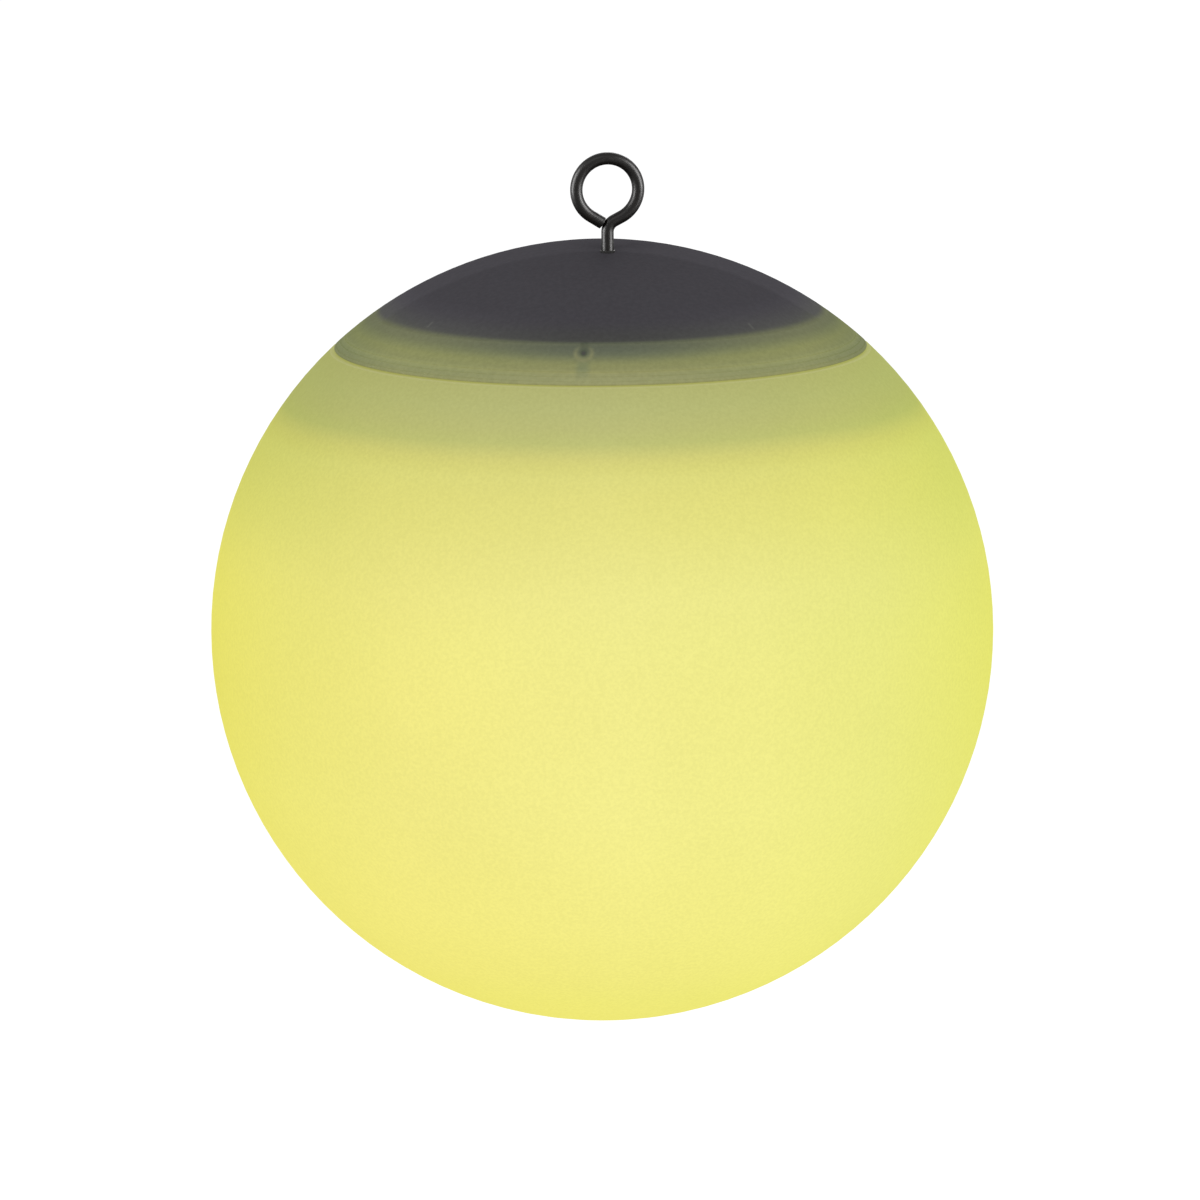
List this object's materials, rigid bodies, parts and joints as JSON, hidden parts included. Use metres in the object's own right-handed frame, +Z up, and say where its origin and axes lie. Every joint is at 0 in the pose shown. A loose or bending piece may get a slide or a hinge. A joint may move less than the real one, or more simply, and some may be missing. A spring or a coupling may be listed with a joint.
{
  "type": "solar hanging lamp",
  "caption": "Round hanging garden lamp: an opal ball lit from inside, a smoky solar lid with a wire eye, and a twist-off head with battery, switch and lights.",
  "frame": {"origin": "the highest point inside the eye's loop, where a hook bears; the ball's axis is 15 mm behind it, at +Y", "axes": "+Z up along the ball's axis, front towards -Y, the eye's loop lies in the XZ plane"},
  "size_m": [0.25, 0.25, 0.2811],
  "materials": {
    "opal_plastic": "translucent opal white, satin, lit from inside in a warm yellow-green",
    "smoky_plastic": "smoky hazy translucent",
    "seal_rubber": "matt black",
    "black_wire": "satin black",
    "plated_steel": "zinc plated",
    "black_plastic": "fine satin black",
    "green_laminate": "green solder mask",
    "solar_cell": "dark blue silicon",
    "tinned_ribbon": "tinned",
    "clear_resin": "clear",
    "frosted_plastic": "frosted translucent",
    "white_plastic": "satin white",
    "battery_sleeve": "plain green sleeve",
    "lead_sleeve": "soft red"
  },
  "bodies": {
    "head": {"lid": "smoky_plastic", "eye": "black_wire", "eye_nut": "plated_steel", "eye_washer": "plated_steel", "eye_lock_nut": "plated_steel", "eye_grommet": "seal_rubber", "solar_bezel": "black_plastic", "panel_board": "green_laminate", "solar_cells": "solar_cell", "cell_ribbons": "tinned_ribbon", "panel_resin": "clear_resin", "head_base": "frosted_plastic", "lid_screws": "plated_steel", "bezel_screws": "plated_steel", "module_case": "white_plastic", "case_seal": "seal_rubber", "case_screws": "plated_steel", "circuit_board": "green_laminate", "board_parts": "black_plastic", "board_screws": "plated_steel", "led_board": "green_laminate", "led_board_screws": "plated_steel", "white_leds": "clear_resin", "colour_led": "clear_resin", "led_cover": "frosted_plastic", "led_pins": "tinned_ribbon", "battery": "battery_sleeve", "battery_cradle": "white_plastic", "battery_contacts": "plated_steel", "switch_body": "plated_steel", "panel_leads": "lead_sleeve", "battery_leads": "lead_sleeve"},
    "rim_seal": {"rim_seal": "seal_rubber"},
    "globe": {"globe": "opal_plastic"},
    "battery_cover": {"battery_cover": "white_plastic", "battery_cover_seal": "seal_rubber", "battery_cover_screws": "plated_steel"},
    "switch_slider": {"switch_slider": "black_plastic"}
  },
  "joints": [
    {"name": "globe_twist", "type": "hinge", "parent": "head", "child": "rim_seal", "pos_m": [0, 0.015, -0.0616], "axis": [0, 0, 1], "range_deg": [0, 18]},
    {"name": "globe_lift_off", "type": "slide", "parent": "rim_seal", "child": "globe", "axis": [0, 0, -1], "range_m": [0, 0.08]},
    {"name": "battery_cover_lift_off", "type": "slide", "parent": "head", "child": "battery_cover", "axis": [0, 0, -1], "range_m": [0, 0.03]},
    {"name": "switch_travel", "type": "slide", "parent": "head", "child": "switch_slider", "axis": [1, 0, 0], "range_m": [-0.002, 0.002]}
  ]
}
